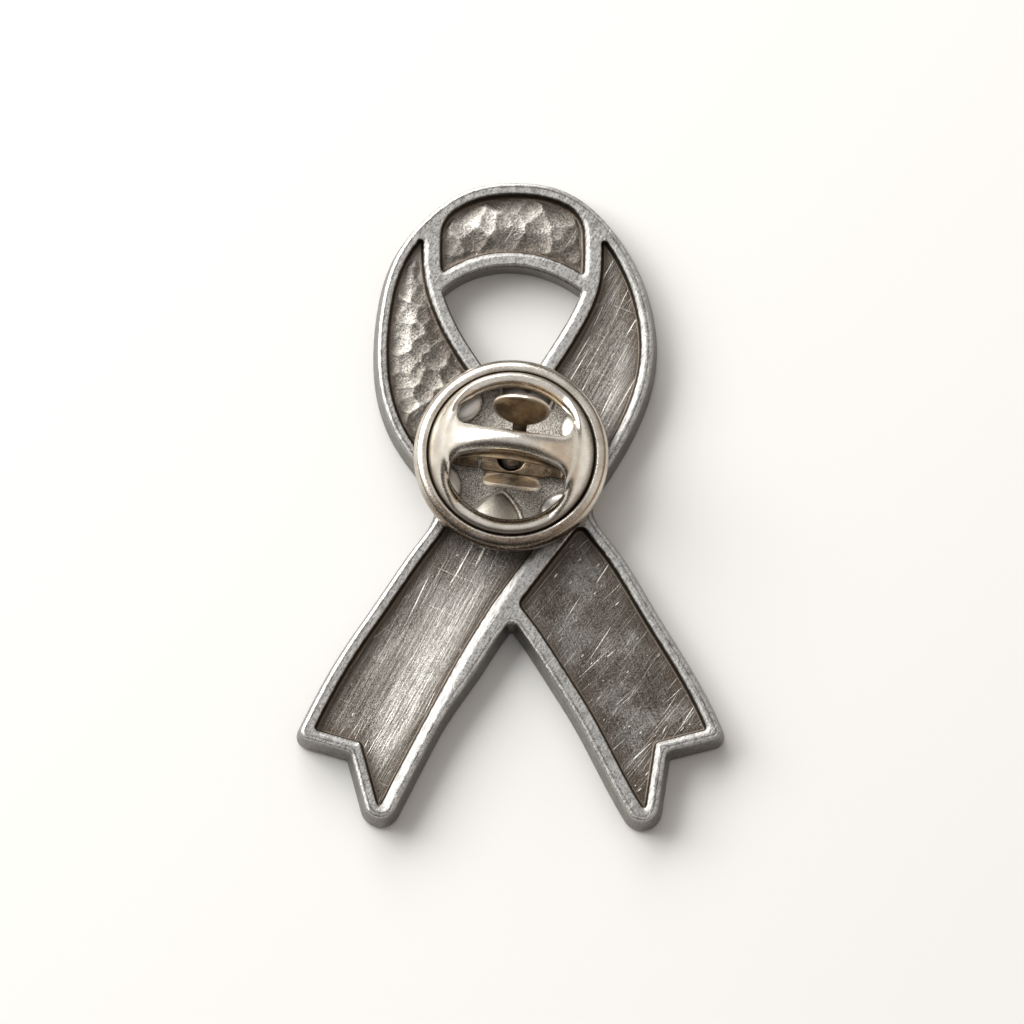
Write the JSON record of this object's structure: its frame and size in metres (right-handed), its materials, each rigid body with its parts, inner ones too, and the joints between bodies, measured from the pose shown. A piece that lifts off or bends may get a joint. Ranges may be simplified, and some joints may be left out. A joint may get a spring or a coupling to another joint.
{
  "type": "awareness ribbon pin",
  "caption": "Cast metal awareness ribbon pin, face down, with sunken textured panels on its back and a butterfly clutch on the soldered post.",
  "frame": {"origin": "on the front face that rests on the surface, under the middle of the pin's outline", "axes": "+Z from the front face up to the back with the post, +Y from the tails to the top of the loop"},
  "size_m": [0.0254, 0.0397, 0.0077],
  "materials": {
    "antiqued_pewter": "cast pewter with darkened panels and rubbed bright rims",
    "nickel_base": "nickel plated sheet with a grainy inside",
    "nickel_shell": "polished warm nickel plate",
    "spring_brass": "aged spring brass"
  },
  "bodies": {
    "ribbon": {"ribbon": "antiqued_pewter"},
    "clutch": {"clutch_base": "nickel_base", "clutch_shell": "nickel_shell", "spring_clip": "spring_brass"},
    "wing_upper": {"spring_wing_upper": "spring_brass"},
    "wing_lower": {"spring_wing_lower": "spring_brass"}
  },
  "joints": [
    {"name": "clutch_slide", "type": "slide", "parent": "ribbon", "child": "clutch", "axis": [0, 0, 1], "range_m": [0, 0.006]},
    {"name": "wing_upper_squeeze", "type": "hinge", "parent": "clutch", "child": "wing_upper", "pos_m": [0.0003, 0.00381, 0.00289], "axis": [0.9925, -0.1219, 0], "range_deg": [0, 12], "stiffness_Nm_per_rad": 0.02},
    {"name": "wing_lower_squeeze", "type": "hinge", "parent": "clutch", "child": "wing_lower", "pos_m": [0.00001, 0.00143, 0.00289], "axis": [-0.9925, 0.1219, 0], "range_deg": [0, 12], "stiffness_Nm_per_rad": 0.02}
  ]
}
